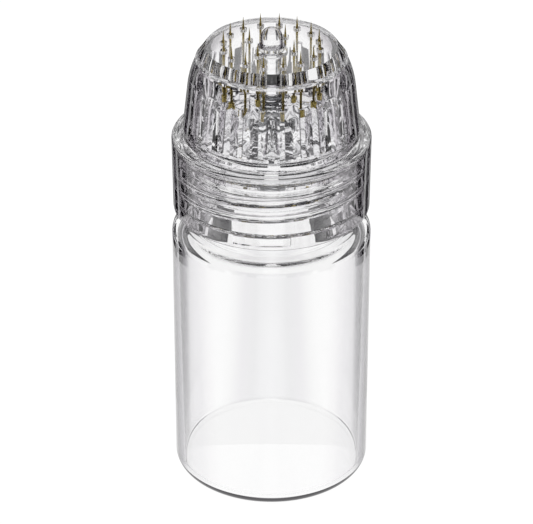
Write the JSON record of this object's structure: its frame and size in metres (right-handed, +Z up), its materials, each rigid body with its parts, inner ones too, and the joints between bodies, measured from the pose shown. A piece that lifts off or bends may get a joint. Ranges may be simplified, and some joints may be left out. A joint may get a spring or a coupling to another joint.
{
  "type": "microneedle serum applicator",
  "caption": "Clear glass vial with a screw-on clear dome head that holds gold microneedles round a spring-loaded push valve.",
  "frame": {"origin": "centre of the vial's foot, on the surface it stands on", "axes": "+Z up along the vial's axis to the needles; -Y towards the picture's viewer"},
  "size_m": [0.024, 0.024, 0.0593],
  "materials": {
    "vial_glass": "clear glass",
    "clear_plastic": "clear polished plastic",
    "needle_gold": "gold plated steel, satin",
    "spring_steel": "bright drawn wire",
    "soft_silicone": "soft milky silicone"
  },
  "bodies": {
    "bottle": {"vial": "vial_glass", "neck_plug": "clear_plastic"},
    "head": {"dome_shell": "clear_plastic", "needle_plate": "clear_plastic", "needle_carrier": "clear_plastic", "valve_seat_plate": "clear_plastic", "mouth_gasket": "soft_silicone", "plate_seal": "soft_silicone", "valve_spring": "spring_steel", "needle_01": "needle_gold", "needle_02": "needle_gold", "needle_03": "needle_gold", "needle_04": "needle_gold", "needle_05": "needle_gold", "needle_06": "needle_gold", "needle_07": "needle_gold", "needle_08": "needle_gold", "needle_09": "needle_gold", "needle_10": "needle_gold", "needle_11": "needle_gold", "needle_12": "needle_gold", "needle_13": "needle_gold", "needle_14": "needle_gold", "needle_15": "needle_gold", "needle_16": "needle_gold", "needle_17": "needle_gold", "needle_18": "needle_gold", "needle_19": "needle_gold", "needle_20": "needle_gold"},
    "valve": {"valve_pin": "clear_plastic", "spring_washer": "spring_steel", "valve_seal": "soft_silicone"},
    "collar": {"screw_collar": "clear_plastic"}
  },
  "joints": [
    {"name": "head_lift", "type": "slide", "parent": "bottle", "child": "head", "axis": [0, 0, 1], "range_m": [0, 0.004]},
    {"name": "collar_turn", "type": "hinge", "parent": "head", "child": "collar", "pos_m": [0, 0, 0.0405], "axis": [0, 0, 1], "range_deg": [0, 720]},
    {"name": "valve_press", "type": "slide", "parent": "head", "child": "valve", "axis": [0, 0, 1], "range_m": [-0.002, 0], "stiffness_N_per_m": 200, "springref_m": 0.002, "deforming": ["valve_spring"]}
  ],
  "couplings": [
    {"joint": "collar_turn", "follows": "head_lift", "rad_per_m": 3141.6}
  ]
}
